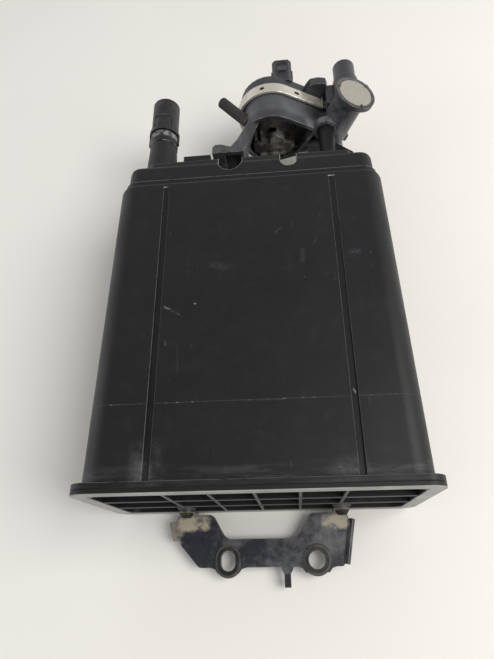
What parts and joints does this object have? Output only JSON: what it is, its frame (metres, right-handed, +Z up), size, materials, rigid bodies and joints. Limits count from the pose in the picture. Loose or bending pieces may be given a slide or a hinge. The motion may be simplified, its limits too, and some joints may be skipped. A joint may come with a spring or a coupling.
{
  "type": "charcoal canister",
  "caption": "Boxy black evaporative-emission canister with welded base flange, steel mounting bracket, vapour port with quick connector, and banded vent valve with filter tube.",
  "frame": {"origin": "middle of the flange's lower edge, in the plane where case and cover are welded", "axes": "+X to the right seen from the front face, +Y from the base to the ports, +Z up out of the front face"},
  "size_m": [0.2046, 0.4127, 0.103],
  "materials": {
    "case_plastic": "moulded satin black nylon with worn pale edges",
    "connector_plastic": "moulded satin black",
    "valve_plastic": "moulded dark grey, dusty",
    "module_plastic": "moulded dark blue-grey",
    "bracket_paint": "mottled black paint on pressed steel, with residue",
    "bare_steel": "dull zinc-plated steel",
    "band_steel": "satin stainless strip",
    "dusty_plastic": "moulded plastic under brown dust",
    "hose_rubber": "aged brown-grey rubber",
    "seal_rubber": "black nitrile rubber",
    "filter_felt": "pressed pale filter felt",
    "spool_plastic": "moulded natural nylon",
    "winding_copper": "enamelled copper wire",
    "contact_brass": "tinned brass blade",
    "charcoal": "packed activated charcoal granules"
  },
  "bodies": {
    "canister": {"case": "case_plastic", "port_tower": "case_plastic", "locating_post": "case_plastic", "vent_spigot": "case_plastic", "base_cover": "case_plastic", "pressure_plate_main": "case_plastic", "pressure_plate_vent": "case_plastic", "quick_connector_body": "connector_plastic", "quick_connector_clip": "connector_plastic", "valve_housing": "valve_plastic", "valve_module": "module_plastic", "mounting_bracket": "bracket_paint", "bracket_screws": "bare_steel", "pole_piece": "bare_steel", "valve_spring": "bare_steel", "plate_spring_left": "bare_steel", "plate_spring_middle": "bare_steel", "plate_spring_right": "bare_steel", "retaining_band": "band_steel", "inlet_core": "dusty_plastic", "breather_hose": "hose_rubber", "front_o_ring": "seal_rubber", "rear_o_ring": "seal_rubber", "spigot_o_ring": "seal_rubber", "module_seal": "seal_rubber", "filter_disc": "filter_felt", "top_filter_main": "filter_felt", "top_filter_vent": "filter_felt", "bottom_filter_main": "filter_felt", "bottom_filter_vent": "filter_felt", "coil_bobbin": "spool_plastic", "o_ring_spacer": "spool_plastic", "coil_winding": "winding_copper", "connector_terminals": "contact_brass", "carbon_bed_main": "charcoal", "carbon_bed_vent": "charcoal"},
    "plunger": {"valve_plunger": "bare_steel", "valve_seal": "seal_rubber"}
  },
  "joints": [
    {"name": "vent_valve_slide", "type": "slide", "parent": "canister", "child": "plunger", "axis": [0, -1, 0], "range_m": [0, 0.002], "stiffness_N_per_m": 300, "springref_m": -0.002, "deforming": ["valve_spring"]}
  ]
}
